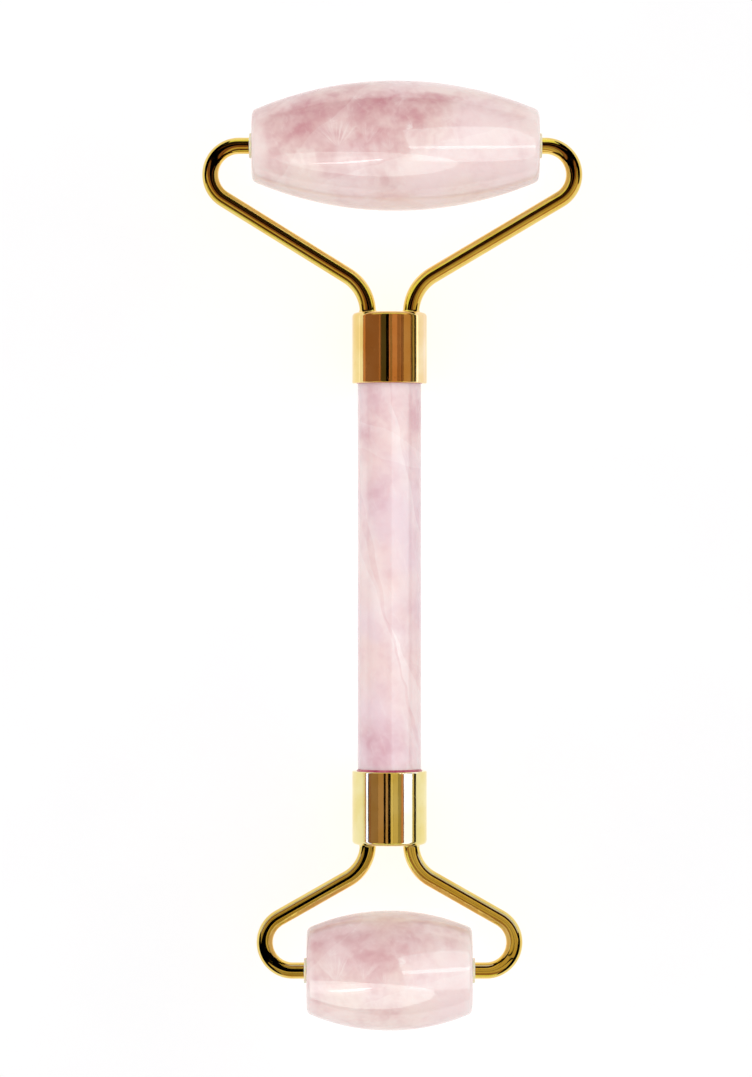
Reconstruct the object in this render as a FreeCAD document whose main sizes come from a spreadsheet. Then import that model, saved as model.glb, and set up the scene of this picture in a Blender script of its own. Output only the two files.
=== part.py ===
"""Double-ended rose quartz face roller: a stone rod handle with a wire fork and a stone roller at each end.

Frame: +Y runs along the handle towards the large roller, +X runs along both roller axes and +Z is up.
The origin is the bottom centre of the box round the roller as it lies on its two rollers.
"""
import FreeCAD, Part
import math
import os

import Sketcher

OUTPUT_FOLDER = "parts"

# Driving dimensions in millimetres.
DIMENSIONS = {
    # layout along the handle, from the middle of the overall length
    "large_axis_y": 62.55,
    "small_axis_y": -63.35,
    "upper_mouth_y": 26.25,
    "lower_mouth_y": -32.85,
    # handle rod
    "handle_radius": 4.86,
    "handle_bevel": 0.35,
    # ferrules, open at the mouth and closed by an end wall that carries the fork
    "ferrule_radius": 5.7,
    "ferrule_bore_radius": 5.02,
    "ferrule_end_wall": 2.4,
    "ferrule_shoulder": 0.65,
    "ferrule_lip": 0.2,
    "upper_ferrule_length": 10.8,
    "lower_ferrule_length": 11.2,
    "glue_pool": 0.3,
    # fork arms, bent from round wire
    "wire_radius": 1.25,
    "arm_offset": 3.3,
    "upper_inner_bend": 6.7,
    "lower_inner_bend": 6.1,
    "upper_outer_bend": 4.4,
    "lower_outer_bend": 4.3,
    "upper_left_reach": 27.35,
    "upper_right_reach": 28.19,
    "lower_left_reach": 19.05,
    "lower_right_reach": 19.05,
    "pin_insert": 6.0,
    "pin_bevel": 0.3,
    "braze_fillet": 0.42,
    "braze_crest": 0.06,
    # rollers, each a barrel with a crowned side and a blind bore at each end
    "large_radius": 9.95,
    "large_length": 43.8,
    "large_crown": 55.0,
    "large_shift": 0.92,
    "small_radius": 9.15,
    "small_length": 25.2,
    "small_crown": 31.0,
    "small_shift": 0.0,
    "roller_edge": 1.0,
    "bore_radius": 1.65,
    "bore_depth": 8.0,
    # flanged bushes, glued into the bores
    "bush_bore_radius": 1.3,
    "bush_radius": 1.5,
    "bush_length": 7.4,
    "flange_radius": 1.9,
    "flange_thickness": 0.45,
    "bush_glue_length": 7.0,
}

# Turns that carry a right-hand upper arm to each corner of the object.
CORNER_TURNS = {
    "upper_right": FreeCAD.Rotation(),
    "upper_left": FreeCAD.Rotation(FreeCAD.Vector(0, 1, 0), 180),
    "lower_right": FreeCAD.Rotation(FreeCAD.Vector(1, 0, 0), 180),
    "lower_left": FreeCAD.Rotation(FreeCAD.Vector(0, 0, 1), 180),
}
HANDLE_X = "(Sizes.upper_left_reach - Sizes.upper_right_reach) / 2"
HANDLE_Z = "Sizes.large_radius"
FORK_Y = {
    "upper": "Sizes.upper_mouth_y + Sizes.upper_ferrule_length",
    "lower": "Sizes.lower_mouth_y - Sizes.lower_ferrule_length",
}
FORK_DEPTH = {
    "upper": "Sizes.large_axis_y - Sizes.upper_mouth_y - Sizes.upper_ferrule_length",
    "lower": "Sizes.lower_mouth_y - Sizes.lower_ferrule_length - Sizes.small_axis_y",
}
ROLLER_OF_FORK = {"upper": "large", "lower": "small"}
SIDE_SIGN = {"left": "-", "right": "+"}
START, END, CENTRE = 1, 2, 3
ORIGIN_POINT = (-1, 1)
HORIZONTAL_AXIS, VERTICAL_AXIS = -1, -2

document = FreeCAD.newDocument("FaceRoller")
sizes = document.addObject("Spreadsheet::Sheet", "Sizes")
sub_parts = []


def fill_sheet():
    """Write each driving dimension into the sheet, with its name beside it."""
    for row, (alias, size) in enumerate(DIMENSIONS.items(), start=1):
        sizes.set(f"A{row}", alias)
        sizes.set(f"B{row}", str(size))
        sizes.setAlias(f"B{row}", alias)
    document.recompute()


def value(expression):
    """Return what an expression over the sheet is worth now, in millimetres."""
    return float(sizes.evalExpression(expression))


def new_body(label):
    """Start a sub-part that is made feature by feature."""
    body = document.addObject("PartDesign::Body", label)
    body.Label = label
    return body


def new_sketch(body, name, plane):
    """Start a sketch on one of the body's own origin planes."""
    sketch = body.newObject("Sketcher::SketchObject", name)
    plane_feature = next(item for item in body.Origin.OriginFeatures if item.Role == plane)
    sketch.AttachmentSupport = [(plane_feature, "")]
    sketch.MapMode = "FlatFace"
    return sketch


def bind_coordinate(sketch, kind, geometry, point, expression):
    """Tie one coordinate of a point to the sheet, or to an axis where it is zero."""
    if expression == "0":
        axis = VERTICAL_AXIS if kind == "DistanceX" else HORIZONTAL_AXIS
        sketch.addConstraint(Sketcher.Constraint("PointOnObject", geometry, point, axis))
        return
    constraint = Sketcher.Constraint(kind, *ORIGIN_POINT, geometry, point, value(expression))
    index = sketch.addConstraint(constraint)
    sketch.setExpression(f"Constraints[{index}]", expression)


def bind_point(sketch, geometry, point, place):
    """Tie both coordinates of a point to the sheet."""
    bind_coordinate(sketch, "DistanceX", geometry, point, place[0])
    bind_coordinate(sketch, "DistanceY", geometry, point, place[1])


def bind_radius(sketch, geometry, expression):
    """Tie the radius of an arc or circle to the sheet."""
    index = sketch.addConstraint(Sketcher.Constraint("Radius", geometry, value(expression)))
    sketch.setExpression(f"Constraints[{index}]", expression)


def add_polygon(sketch, corners):
    """Draw a closed outline of straight lines through corners given as pairs of expressions."""
    places = [FreeCAD.Vector(value(across), value(along), 0) for across, along in corners]
    first = sketch.GeometryCount
    count = len(places)
    for number in range(count):
        line = Part.LineSegment(places[number], places[(number + 1) % count])
        sketch.addGeometry(line, False)
    for number in range(count):
        following = first + (number + 1) % count
        sketch.addConstraint(Sketcher.Constraint("Coincident", first + number, END, following, START))
    for number, corner in enumerate(corners):
        bind_point(sketch, first + number, START, corner)


def add_circle(sketch, place, radius):
    """Draw a circle whose centre and radius are tied to the sheet."""
    centre = FreeCAD.Vector(value(place[0]), value(place[1]), 0)
    circle = Part.Circle(centre, FreeCAD.Vector(0, 0, 1), value(radius))
    index = sketch.addGeometry(circle, False)
    bind_point(sketch, index, CENTRE, place)
    bind_radius(sketch, index, radius)


def revolve(body, sketch, axis, kind="PartDesign::Revolution"):
    """Turn a sketch a full circle about one of its own axes, to add or to cut."""
    feature = body.newObject(kind, f"{kind.split('::')[1]}_{sketch.Name}")
    feature.Profile = sketch
    feature.ReferenceAxis = (sketch, [axis])
    feature.Angle = 360
    sketch.Visibility = False
    document.recompute()
    return feature


def revolved_body(label, corners, axis):
    """Make a sub-part turned from one straight-sided outline."""
    body = new_body(label)
    sketch = new_sketch(body, f"{label}_outline", "XY_Plane")
    add_polygon(sketch, corners)
    revolve(body, sketch, axis)
    return body


def ring_edges(feature, radius, station, direction):
    """Name the circular edges of one radius whose centre is at one station along a direction."""
    names = []
    for number, edge in enumerate(feature.Shape.Edges, start=1):
        if edge.Curve.TypeId != "Part::GeomCircle":
            continue
        same_radius = math.isclose(edge.Curve.Radius, radius, abs_tol=1e-4)
        same_station = math.isclose(edge.Curve.Center.dot(direction), station, abs_tol=1e-4)
        if same_radius and same_station:
            names.append(f"Edge{number}")
    if not names:
        raise RuntimeError(f"{feature.Label} has no circular edge of radius {radius} at {station}")
    return names


def dress_edges(body, kind, names, expression):
    """Round or bevel edges of the body's last feature by a size from the sheet."""
    base = body.Tip
    feature = body.newObject(kind, f"{body.Name}_{kind.split('::')[1]}")
    feature.Base = (base, names)
    size_name = "Radius" if kind == "PartDesign::Fillet" else "Size"
    feature.setExpression(size_name, expression)
    document.recompute()


def place(item, turn, across, along, height):
    """Turn a sub-part, put it in the object's frame and tie its place to the sheet."""
    item.Placement = FreeCAD.Placement(FreeCAD.Vector(), turn)
    for letter, expression in zip("xyz", (across, along, height)):
        item.setExpression(f"Placement.Base.{letter}", expression)
    document.recompute()
    sub_parts.append(item)


def turn_of_end(end):
    """Give the turn for a piece that is modelled pointing towards the large roller."""
    return CORNER_TURNS[f"{end}_right"]


def make_handle():
    """Make the stone rod, which reaches into both ferrules as far as the glue pools."""
    depth = "(Sizes.ferrule_end_wall + Sizes.glue_pool)"
    top = f"{FORK_Y['upper']} - {depth}"
    bottom = f"{FORK_Y['lower']} + {depth}"
    body = revolved_body("handle_rod", [
        ("0", bottom), ("Sizes.handle_radius", bottom), ("Sizes.handle_radius", top), ("0", top),
    ], "V_Axis")
    lengthwise = FreeCAD.Vector(0, 1, 0)
    rims = [name for station in (bottom, top)
            for name in ring_edges(body.Tip, value("Sizes.handle_radius"), value(station), lengthwise)]
    dress_edges(body, "PartDesign::Chamfer", rims, "Sizes.handle_bevel")
    place(body, FreeCAD.Rotation(), HANDLE_X, "0 mm", HANDLE_Z)


def make_ferrule(end):
    """Make a metal cup: its closed end is drilled for the two arms and its mouth takes the rod."""
    length = f"Sizes.{end}_ferrule_length"
    body = revolved_body(f"{end}_ferrule", [
        ("0", "0"), ("Sizes.ferrule_radius", "0"), ("Sizes.ferrule_radius", f"-{length}"),
        ("Sizes.ferrule_bore_radius", f"-{length}"),
        ("Sizes.ferrule_bore_radius", "-Sizes.ferrule_end_wall"), ("0", "-Sizes.ferrule_end_wall"),
    ], "V_Axis")
    holes = new_sketch(body, f"{end}_arm_holes", "XZ_Plane")
    add_circle(holes, ("Sizes.arm_offset", "0"), "Sizes.wire_radius")
    add_circle(holes, ("-Sizes.arm_offset", "0"), "Sizes.wire_radius")
    solid_volume = body.Shape.Volume
    pocket = body.newObject("PartDesign::Pocket", f"{end}_arm_pocket")
    pocket.Profile = holes
    pocket.Type = "ThroughAll"
    pocket.Midplane = True
    holes.Visibility = False
    document.recompute()
    drilled = 2 * math.pi * value("Sizes.wire_radius") ** 2 * value("Sizes.ferrule_end_wall")
    if not math.isclose(solid_volume - body.Shape.Volume, drilled, rel_tol=1e-3):
        raise RuntimeError(f"The arm holes of the {end} ferrule don't go through its end wall")
    lengthwise = FreeCAD.Vector(0, 1, 0)
    shoulder = ring_edges(body.Tip, value("Sizes.ferrule_radius"), 0, lengthwise)
    dress_edges(body, "PartDesign::Fillet", shoulder, "Sizes.ferrule_shoulder")
    lip = ring_edges(body.Tip, value("Sizes.ferrule_radius"), -value(length), lengthwise)
    dress_edges(body, "PartDesign::Fillet", lip, "Sizes.ferrule_lip")
    place(body, turn_of_end(end), HANDLE_X, FORK_Y[end], HANDLE_Z)


def make_ferrule_adhesive(end):
    """Make the cured adhesive round the end of the rod, with a thin pool under the rod's end face."""
    length = f"Sizes.{end}_ferrule_length"
    pool = "-(Sizes.ferrule_end_wall + Sizes.glue_pool)"
    body = revolved_body(f"{end}_adhesive", [
        ("0", "-Sizes.ferrule_end_wall"), ("Sizes.ferrule_bore_radius", "-Sizes.ferrule_end_wall"),
        ("Sizes.ferrule_bore_radius", f"-{length}"), ("Sizes.handle_radius", f"-{length}"),
        ("Sizes.handle_radius", pool), ("0", pool),
    ], "V_Axis")
    place(body, turn_of_end(end), HANDLE_X, FORK_Y[end], HANDLE_Z)


def pin_tip(end, side):
    """Give how far from the handle's axis an arm's pin ends, inside its roller."""
    roller = ROLLER_OF_FORK[end]
    return f"Sizes.{roller}_length / 2 {SIDE_SIGN[side]} Sizes.{roller}_shift - Sizes.pin_insert"


def slope_of_arm(offset, inner_bend, outer_bend, reach, depth):
    """Find the angle from X of the straight run that is tangent to both bends of an arm."""
    across = reach - outer_bend - offset - inner_bend
    along = depth - outer_bend
    bends = inner_bend + outer_bend
    return math.acos(bends / math.hypot(across, along)) - math.atan2(across, along)


def add_arm_path(sketch, end, side):
    """Draw an arm's centre line: out of the ferrule, two opposite bends and the pin of the roller."""
    names = ("arm_offset", f"{end}_inner_bend", f"{end}_outer_bend", f"{end}_{side}_reach")
    offset, inner_bend, outer_bend, reach = (value(f"Sizes.{name}") for name in names)
    depth = value(FORK_DEPTH[end])
    slope = slope_of_arm(offset, inner_bend, outer_bend, reach, depth)
    normal = FreeCAD.Vector(0, 0, 1)
    inner = Part.Circle(FreeCAD.Vector(offset + inner_bend, 0, 0), normal, inner_bend)
    outer = Part.Circle(FreeCAD.Vector(reach - outer_bend, depth - outer_bend, 0), normal, outer_bend)
    inner_arc = Part.ArcOfCircle(inner, slope + math.pi / 2, math.pi)
    outer_arc = Part.ArcOfCircle(outer, slope - math.pi / 2, math.pi / 2)
    root = FreeCAD.Vector(offset, -value("Sizes.ferrule_end_wall"), 0)
    tip = FreeCAD.Vector(value(pin_tip(end, side)), depth, 0)
    sketch.addGeometry([
        Part.LineSegment(root, inner_arc.EndPoint),
        inner_arc,
        Part.LineSegment(inner_arc.StartPoint, outer_arc.StartPoint),
        outer_arc,
        Part.LineSegment(outer_arc.EndPoint, tip),
    ], False)
    shank, inner_number, run, outer_number, pin = range(5)
    sketch.addConstraint([
        Sketcher.Constraint("Vertical", shank),
        Sketcher.Constraint("Horizontal", pin),
        Sketcher.Constraint("Tangent", shank, END, inner_number, END),
        Sketcher.Constraint("Tangent", inner_number, START, run, START),
        Sketcher.Constraint("Tangent", run, END, outer_number, START),
        Sketcher.Constraint("Tangent", outer_number, END, pin, START),
    ])
    bind_point(sketch, shank, START, ("Sizes.arm_offset", "-Sizes.ferrule_end_wall"))
    bind_coordinate(sketch, "DistanceY", shank, END, "0")
    bind_radius(sketch, inner_number, f"Sizes.{end}_inner_bend")
    bind_radius(sketch, outer_number, f"Sizes.{end}_outer_bend")
    bind_coordinate(sketch, "DistanceX", outer_number, CENTRE,
                    f"Sizes.{end}_{side}_reach - Sizes.{end}_outer_bend")
    bind_point(sketch, pin, END, (pin_tip(end, side), FORK_DEPTH[end]))


def make_arm(end, side):
    """Make one fork arm: round wire that runs along the bent centre line."""
    label = f"{end}_{side}_arm"
    body = new_body(label)
    path = new_sketch(body, f"{label}_path", "XY_Plane")
    add_arm_path(path, end, side)
    section = new_sketch(body, f"{label}_section", "XZ_Plane")
    section.AttachmentOffset = FreeCAD.Placement(
        FreeCAD.Vector(0, 0, value("Sizes.ferrule_end_wall")), FreeCAD.Rotation())
    section.setExpression("AttachmentOffset.Base.z", "Sizes.ferrule_end_wall")
    add_circle(section, ("Sizes.arm_offset", "0"), "Sizes.wire_radius")
    document.recompute()
    pipe = body.newObject("PartDesign::AdditivePipe", f"{label}_pipe")
    pipe.Profile = section
    pipe.Spine = (path, [])
    path.Visibility = False
    section.Visibility = False
    document.recompute()
    rim = ring_edges(body.Tip, value("Sizes.wire_radius"), value(pin_tip(end, side)), FreeCAD.Vector(1, 0, 0))
    dress_edges(body, "PartDesign::Chamfer", rim, "Sizes.pin_bevel")
    place(body, CORNER_TURNS[f"{end}_{side}"], HANDLE_X, FORK_Y[end], HANDLE_Z)
    return body


def add_flare_outline(sketch):
    """Draw half of a solid ring with a concave side, as thick at its crest as a thin rim."""
    fillet = value("Sizes.braze_fillet")
    rim = value("Sizes.wire_radius + Sizes.braze_crest")
    hollow_circle = Part.Circle(FreeCAD.Vector(rim + fillet, fillet, 0), FreeCAD.Vector(0, 0, 1), fillet)
    hollow = Part.ArcOfCircle(hollow_circle, math.pi, 1.5 * math.pi)
    foot = FreeCAD.Vector(0, 0, 0)
    crest = FreeCAD.Vector(0, fillet, 0)
    sketch.addGeometry([
        hollow,
        Part.LineSegment(hollow.EndPoint, foot),
        Part.LineSegment(foot, crest),
        Part.LineSegment(crest, hollow.StartPoint),
    ], False)
    arc, floor, axis, top = range(4)
    sketch.addConstraint([
        Sketcher.Constraint("Coincident", arc, END, floor, START),
        Sketcher.Constraint("Coincident", floor, END, axis, START),
        Sketcher.Constraint("Coincident", axis, END, top, START),
        Sketcher.Constraint("Coincident", top, END, arc, START),
    ])
    bind_point(sketch, arc, START, ("Sizes.wire_radius + Sizes.braze_crest", "Sizes.braze_fillet"))
    bind_point(sketch, arc, END, ("Sizes.wire_radius + Sizes.braze_crest + Sizes.braze_fillet", "0"))
    bind_radius(sketch, arc, "Sizes.braze_fillet")
    bind_point(sketch, floor, END, ("0", "0"))
    bind_point(sketch, axis, END, ("0", "Sizes.braze_fillet"))


def make_braze(end, side, arm):
    """Make the brazed fillet that flows from an arm onto the ferrule's end face: a flare less the arm."""
    label = f"{end}_{side}_braze"
    flare = new_body(f"{label}_flare")
    outline = new_sketch(flare, f"{label}_outline", "XY_Plane")
    add_flare_outline(outline)
    revolve(flare, outline, "V_Axis")
    flare.Placement = FreeCAD.Placement(FreeCAD.Vector(), turn_of_end(end))
    flare.setExpression("Placement.Base.x", f"{HANDLE_X} {SIDE_SIGN[side]} Sizes.arm_offset")
    flare.setExpression("Placement.Base.y", FORK_Y[end])
    flare.setExpression("Placement.Base.z", HANDLE_Z)
    braze = document.addObject("Part::Cut", label)
    braze.Label = label
    braze.Base = flare
    braze.Tool = arm
    document.recompute()
    sub_parts.append(braze)


def add_barrel_outline(sketch, roller):
    """Draw half of a barrel: an axis line, two end faces and a crowned side."""
    half_length = value(f"Sizes.{roller}_length / 2")
    crown = value(f"Sizes.{roller}_crown")
    centre = FreeCAD.Vector(0, value(f"Sizes.{roller}_radius") - crown, 0)
    spread = math.asin(half_length / crown)
    side_circle = Part.Circle(centre, FreeCAD.Vector(0, 0, 1), crown)
    crowned_side = Part.ArcOfCircle(side_circle, math.pi / 2 - spread, math.pi / 2 + spread)
    left = FreeCAD.Vector(-half_length, 0, 0)
    right = FreeCAD.Vector(half_length, 0, 0)
    sketch.addGeometry([
        Part.LineSegment(left, right),
        Part.LineSegment(right, crowned_side.StartPoint),
        crowned_side,
        Part.LineSegment(crowned_side.EndPoint, left),
    ], False)
    axis, right_face, side, left_face = range(4)
    sketch.addConstraint([
        Sketcher.Constraint("Coincident", axis, END, right_face, START),
        Sketcher.Constraint("Coincident", right_face, END, side, START),
        Sketcher.Constraint("Coincident", side, END, left_face, START),
        Sketcher.Constraint("Coincident", left_face, END, axis, START),
        Sketcher.Constraint("Vertical", right_face),
        Sketcher.Constraint("Vertical", left_face),
    ])
    bind_point(sketch, axis, START, (f"-Sizes.{roller}_length / 2", "0"))
    bind_point(sketch, axis, END, (f"Sizes.{roller}_length / 2", "0"))
    bind_point(sketch, side, CENTRE, ("0", f"Sizes.{roller}_radius - Sizes.{roller}_crown"))
    bind_radius(sketch, side, f"Sizes.{roller}_crown")


def make_roller(roller):
    """Make a stone barrel with rounded ends and a blind bore in each end face."""
    body = new_body(f"{roller}_roller")
    outline = new_sketch(body, f"{roller}_barrel", "XY_Plane")
    add_barrel_outline(outline, roller)
    revolve(body, outline, "H_Axis")
    half_length = value(f"Sizes.{roller}_length / 2")
    crown = value(f"Sizes.{roller}_crown")
    end_radius = value(f"Sizes.{roller}_radius") - crown + math.sqrt(crown ** 2 - half_length ** 2)
    crosswise = FreeCAD.Vector(1, 0, 0)
    rims = [name for station in (-half_length, half_length)
            for name in ring_edges(body.Tip, end_radius, station, crosswise)]
    dress_edges(body, "PartDesign::Fillet", rims, "Sizes.roller_edge")
    bores = new_sketch(body, f"{roller}_bores", "XY_Plane")
    for sign in ("-", ""):
        face = f"{sign}Sizes.{roller}_length / 2"
        bottom = f"{sign}(Sizes.{roller}_length / 2 - Sizes.bore_depth)"
        add_polygon(bores, [
            (face, "0"), (bottom, "0"), (bottom, "Sizes.bore_radius"), (face, "Sizes.bore_radius"),
        ])
    solid_volume = body.Shape.Volume
    revolve(body, bores, "H_Axis", "PartDesign::Groove")
    bored = 2 * math.pi * value("Sizes.bore_radius") ** 2 * value("Sizes.bore_depth")
    if not math.isclose(solid_volume - body.Shape.Volume, bored, rel_tol=1e-3):
        raise RuntimeError(f"The bores of the {roller} roller are not cut to their depth")
    place(body, FreeCAD.Rotation(), f"{HANDLE_X} + Sizes.{roller}_shift", f"Sizes.{roller}_axis_y", HANDLE_Z)


def end_face_x(roller, side):
    """Give the station along X of one end face of a roller."""
    return f"{HANDLE_X} + Sizes.{roller}_shift {SIDE_SIGN[side]} Sizes.{roller}_length / 2"


def turn_of_side(side):
    """Give the turn for a piece that is modelled at a roller's right end, pointing out along +X."""
    return CORNER_TURNS[f"upper_{side}"]


def make_bush(roller, side):
    """Make a flanged plastic sleeve: its flange stands on the roller's end face, outside the bore."""
    body = revolved_body(f"{roller}_{side}_bush", [
        ("Sizes.flange_thickness", "Sizes.bush_bore_radius"),
        ("Sizes.flange_thickness", "Sizes.flange_radius"),
        ("0", "Sizes.flange_radius"), ("0", "Sizes.bush_radius"),
        ("-Sizes.bush_length", "Sizes.bush_radius"), ("-Sizes.bush_length", "Sizes.bush_bore_radius"),
    ], "H_Axis")
    place(body, turn_of_side(side), end_face_x(roller, side), f"Sizes.{roller}_axis_y", HANDLE_Z)


def make_bush_adhesive(roller, side):
    """Make the ring of cured adhesive that holds a bush in its bore."""
    body = revolved_body(f"{roller}_{side}_bush_adhesive", [
        ("0", "Sizes.bush_radius"), ("0", "Sizes.bore_radius"),
        ("-Sizes.bush_glue_length", "Sizes.bore_radius"), ("-Sizes.bush_glue_length", "Sizes.bush_radius"),
    ], "H_Axis")
    place(body, turn_of_side(side), end_face_x(roller, side), f"Sizes.{roller}_axis_y", HANDLE_Z)


def check_document():
    """Stop if any object failed to compute or any sub-part isn't one valid solid."""
    for item in document.Objects:
        if "Invalid" in item.State or "Error" in item.State:
            raise RuntimeError(f"{item.Label} failed to compute")
    for item in sub_parts:
        if item.Shape.isNull() or not item.Shape.isValid() or len(item.Shape.Solids) != 1:
            raise RuntimeError(f"{item.Label} isn't one valid solid")


def write_parts():
    """Write each sub-part to a file that is named after it."""
    os.makedirs(OUTPUT_FOLDER, exist_ok=True)
    for item in sub_parts:
        item.Shape.exportStep(os.path.join(OUTPUT_FOLDER, f"{item.Label}.step"))


fill_sheet()
make_handle()
for end in ("upper", "lower"):
    make_ferrule(end)
    make_ferrule_adhesive(end)
    for side in ("left", "right"):
        arm = make_arm(end, side)
        make_braze(end, side, arm)
for roller in ("large", "small"):
    make_roller(roller)
    for side in ("left", "right"):
        make_bush(roller, side)
        make_bush_adhesive(roller, side)
document.recompute()
check_document()
write_parts()
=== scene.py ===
"""Looks of the rose quartz face roller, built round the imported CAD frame.

Everything is in metres, in the frame of the part: X along the roller axes, Y along the handle towards the
large roller, Z up towards the camera. The stones, arms, brazed joints, bushes and handle adhesives are made
here as finer meshes. The ferrules and the adhesive inside the rollers are the CAD's own.
"""

import math

import bmesh
import bpy
from mathutils import Matrix, Vector, noise


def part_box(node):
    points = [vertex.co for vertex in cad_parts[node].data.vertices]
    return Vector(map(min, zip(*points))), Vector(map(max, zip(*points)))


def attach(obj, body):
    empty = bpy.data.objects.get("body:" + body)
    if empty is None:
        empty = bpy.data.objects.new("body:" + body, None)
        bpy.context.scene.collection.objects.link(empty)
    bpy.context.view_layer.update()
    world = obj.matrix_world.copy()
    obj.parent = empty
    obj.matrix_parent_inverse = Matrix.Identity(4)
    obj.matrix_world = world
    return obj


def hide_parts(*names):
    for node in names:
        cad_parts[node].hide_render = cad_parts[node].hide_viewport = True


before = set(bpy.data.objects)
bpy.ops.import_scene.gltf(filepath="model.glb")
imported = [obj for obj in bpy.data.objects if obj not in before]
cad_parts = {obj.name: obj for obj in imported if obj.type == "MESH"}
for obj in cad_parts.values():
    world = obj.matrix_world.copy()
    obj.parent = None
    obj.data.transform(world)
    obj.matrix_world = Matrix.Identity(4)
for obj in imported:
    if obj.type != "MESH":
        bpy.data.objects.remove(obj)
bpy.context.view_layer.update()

MM = 0.001
DEGREE = math.pi / 180

# Sizes that the boxes of the nodes don't give, the same as in the CAD.
WIRE_RADIUS = 1.25 * MM
ARM_OFFSET = 3.3 * MM
END_WALL = 2.4 * MM
PIN_INSERT = 6.0 * MM
PIN_BEVEL = 0.3 * MM
BRAZE_FILLET = 0.42 * MM
BRAZE_CREST = 0.06 * MM
ROLLER_EDGE = 1.0 * MM
BORE_RADIUS = 1.65 * MM
BORE_DEPTH = 8.0 * MM
BUSH_BORE = 1.3 * MM
BUSH_RADIUS = 1.5 * MM
FLANGE_THICKNESS = 0.45 * MM
HANDLE_BEVEL = 0.35 * MM
GLUE_POOL = 0.3 * MM
FLANGE_ROUNDING = 0.14 * MM
INNER_BEND = {"upper": 6.7 * MM, "lower": 6.1 * MM}
OUTER_BEND = {"upper": 4.4 * MM, "lower": 4.3 * MM}
CROWN = {"large": 55.0 * MM, "small": 31.0 * MM}

# Adhesive squeezed out of a ferrule's mouth, and what share of it is rounded.
GLUE_BEAD = {"upper": 0.05 * MM, "lower": 0.3 * MM}
BEAD_ROUNDING = 0.6

# How deep grinding by hand leaves a stone uneven, how far apart, and a seed of its own.
HANDLE_GRINDING = (0.035 * MM, 13 * MM, 4.1)
ROLLER_GRINDING = {"large": (0.05 * MM, 15 * MM, 2.6), "small": (0.05 * MM, 15 * MM, 7.9)}
BROAD_SHARE = 0.38
FINE_SHARE = 0.12
FINER = 2.7

# How uneven the foot of a brazed bead is, how fast that changes round it, and a seed for each side.
BRAZE_DIP = 0.09 * MM
BRAZE_WAVE = 1.6
BRAZE_SEED = {"left": 3.0, "right": 8.0}

# How fine the meshes are: corners round a turned piece or a wire, and steps along each stretch.
STONE_SEGMENTS = 160
SMALL_SEGMENTS = 72
WIRE_SIDES = 40
HANDLE_STEPS = 150
BORE_STEPS = 4
FACE_STEPS = 6
EDGE_STEPS = 12
CROWN_STEPS = 110
ROOT_STEPS = 6
INNER_BEND_STEPS = 26
RUN_STEPS = 30
OUTER_BEND_STEPS = 44
PIN_STEPS = 12
FILLET_STEPS = 10
ROUNDING_STEPS = 5
SHARP_ANGLE = 32 * DEGREE

# The eye looks straight down on the roller as it lies on the floor.
CAMERA_PLACE = Vector((-2.48 * MM, 2.6 * MM, 695.0 * MM))
CAMERA_LENS = 150
CAMERA_SENSOR = 36

ROLLER_OF_END = {"upper": "large", "lower": "small"}
SIDES = {"left": -1, "right": 1}
ALONG = {"upper": 1, "lower": -1}


# ---------------------------------------------------------------- places from the frame

def middle(node):
    """Return the middle of a node's box."""
    low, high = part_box(node)
    return (low + high) / 2


HANDLE_LOW, HANDLE_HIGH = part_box("handle_rod")
HANDLE_RADIUS = (HANDLE_HIGH.x - HANDLE_LOW.x) / 2
HANDLE_AXIS = middle("handle_rod")
ROLLER_AXIS = {size: middle(f"{size}_roller") for size in ("large", "small")}


def ferrule_face_y(end):
    """Return where the closed end of a ferrule is along the handle."""
    low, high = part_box(f"{end}_ferrule")
    return high.y if end == "upper" else low.y


# ---------------------------------------------------------------- meshes

def arc(centre, radius, start, stop, steps):
    """Return points along an arc, given by its centre, radius and two angles in degrees."""
    points = []
    for step in range(steps + 1):
        angle = (start + (stop - start) * step / steps) * DEGREE
        points.append((centre[0] + radius * math.cos(angle), centre[1] + radius * math.sin(angle)))
    return points


def straight(start, stop, steps):
    """Return points along a straight line, without its first one."""
    return [
        (start[0] + (stop[0] - start[0]) * step / steps, start[1] + (stop[1] - start[1]) * step / steps)
        for step in range(1, steps + 1)
    ]


def finished(name, mesh_builder):
    """Turn a bmesh into a smooth piece in the scene, with its true edges kept sharp."""
    bmesh.ops.recalc_face_normals(mesh_builder, faces=mesh_builder.faces)
    mesh = bpy.data.meshes.new(name)
    mesh_builder.to_mesh(mesh)
    mesh_builder.free()
    mesh.shade_smooth()
    mesh.set_sharp_from_angle(angle=SHARP_ANGLE)
    piece = bpy.data.objects.new(name, mesh)
    bpy.context.scene.collection.objects.link(piece)
    return piece


def bridge(mesh_builder, ring, next_ring):
    """Join two rings of vertices. A ring of one vertex is a pole."""
    count = max(len(ring), len(next_ring))
    for index in range(count):
        after = (index + 1) % count
        corners = [ring[index % len(ring)], ring[after % len(ring)],
                   next_ring[after % len(next_ring)], next_ring[index % len(next_ring)]]
        distinct = list(dict.fromkeys(corners))
        if len(distinct) > 2:
            mesh_builder.faces.new(distinct)


def lathe(name, outline, origin, axis, segments, shape=None, closed=False):
    """Turn an outline of (along, radius) points about an axis through origin.

    shape(point, outward, radius) may return how far each point is moved outwards.
    """
    axis = Vector(axis).normalized()
    across = axis.orthogonal().normalized()
    upright = axis.cross(across)
    mesh_builder = bmesh.new()
    rings = []
    for along, radius in outline:
        ring = []
        for index in range(segments if radius > 0 else 1):
            turn = 2 * math.pi * index / segments
            outward = across * math.cos(turn) + upright * math.sin(turn)
            point = origin + axis * along + outward * radius
            if shape:
                point += outward * shape(point, outward, radius)
            ring.append(mesh_builder.verts.new(point))
        rings.append(ring)
    for ring, next_ring in zip(rings, rings[1:]):
        bridge(mesh_builder, ring, next_ring)
    if closed:
        bridge(mesh_builder, rings[-1], rings[0])
    return finished(name, mesh_builder)


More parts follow.
